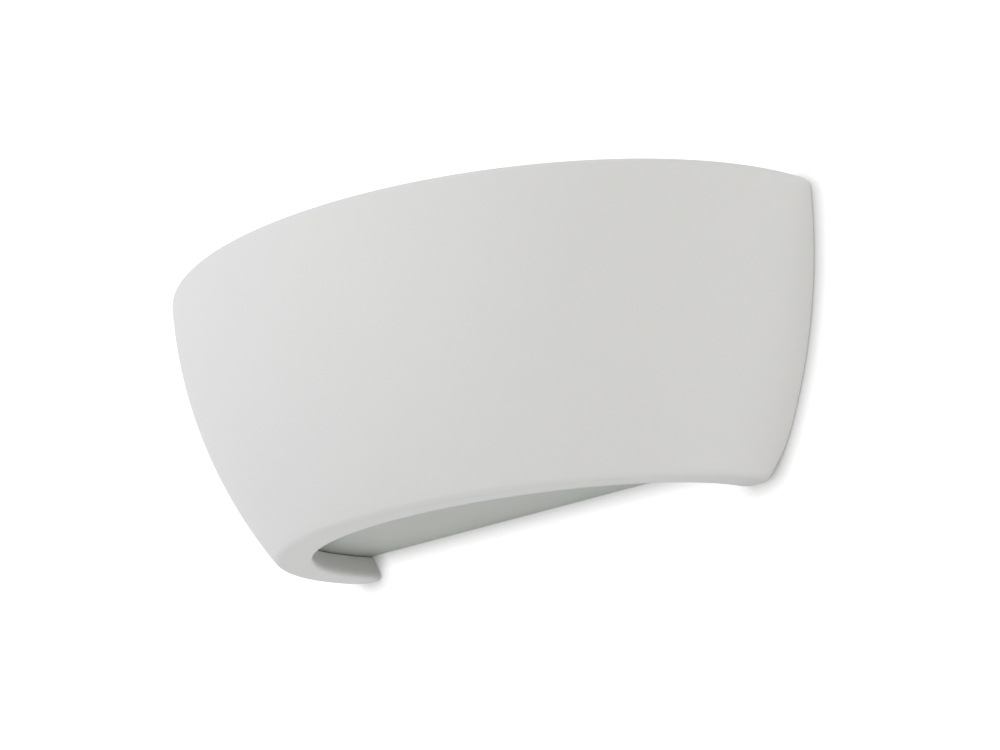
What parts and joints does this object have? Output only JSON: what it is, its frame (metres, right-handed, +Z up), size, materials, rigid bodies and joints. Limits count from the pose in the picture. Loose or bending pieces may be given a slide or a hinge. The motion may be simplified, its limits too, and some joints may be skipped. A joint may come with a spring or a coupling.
{
  "type": "uplighter wall sconce",
  "caption": "Half-oval plaster uplighter bowl hung on a steel wall plate, with a frosted pane below and a linear lamp inside.",
  "frame": {"origin": "middle of the two wall screw slots, on the wall", "axes": "+X right along the wall, +Y into the wall, +Z up"},
  "size_m": [0.31, 0.15, 0.1145],
  "materials": {
    "plaster": "matt",
    "frosted_glass": "frosted",
    "zinc_steel": "satin",
    "white_steel": "satin",
    "rivet_metal": "satin",
    "reflector_aluminium": "bright",
    "steatite": "glazed",
    "screw_steel": "plated",
    "contact_brass": "satin",
    "spring_steel": "bright",
    "mica": "matt",
    "quartz": "clear",
    "cap_ceramic": "matt",
    "tungsten": "drawn",
    "connector_plastic": "matt",
    "grommet_rubber": "matt",
    "silicone": "matt",
    "sleeve_brown": "satin",
    "sleeve_blue": "satin",
    "sleeve_green_yellow": "satin"
  },
  "bodies": {
    "wall_unit": {"wall_plate": "zinc_steel", "lamp_cradle": "white_steel", "cradle_rivets": "rivet_metal", "reflector": "reflector_aluminium", "reflector_rivets": "rivet_metal", "holder_left": "steatite", "holder_right": "steatite", "holder_screws": "screw_steel", "fixed_contact": "contact_brass", "contact_spring": "spring_steel", "spring_seat": "contact_brass", "insulating_discs": "mica", "terminal_block": "connector_plastic", "terminal_tubes": "contact_brass", "terminal_screws": "screw_steel", "block_screws": "screw_steel", "cable_grommet": "grommet_rubber", "earth_stud": "contact_brass", "earth_ring": "screw_steel", "earth_nut": "contact_brass", "lead_live": "sleeve_brown", "lead_neutral": "sleeve_blue", "lead_earth": "sleeve_green_yellow"},
    "shell": {"plaster_shell": "plaster", "hanger_left": "zinc_steel", "hanger_right": "zinc_steel", "pane_pads": "silicone"},
    "pane": {"glass_pane": "frosted_glass"},
    "lamp": {"lamp_tube": "quartz", "lamp_cap_left": "cap_ceramic", "lamp_cap_right": "cap_ceramic", "lamp_contacts": "rivet_metal", "lamp_filament": "tungsten"},
    "plunger": {"contact_plunger": "contact_brass"}
  },
  "joints": [
    {"name": "shell_lift", "type": "slide", "parent": "wall_unit", "child": "shell", "axis": [0, 0, 1], "range_m": [0, 0.013]},
    {"name": "pane_lift", "type": "slide", "parent": "shell", "child": "pane", "axis": [0, 0, 1], "range_m": [0, 0.018]},
    {"name": "lamp_slide", "type": "slide", "parent": "wall_unit", "child": "lamp", "axis": [1, 0, 0], "range_m": [0, 0.003]},
    {"name": "plunger_slide", "type": "slide", "parent": "wall_unit", "child": "plunger", "axis": [1, 0, 0], "range_m": [0, 0.003], "stiffness_N_per_m": 200, "deforming": ["contact_spring"]}
  ],
  "couplings": [
    {"joint": "plunger_slide", "follows": "lamp_slide", "ratio": 1}
  ]
}
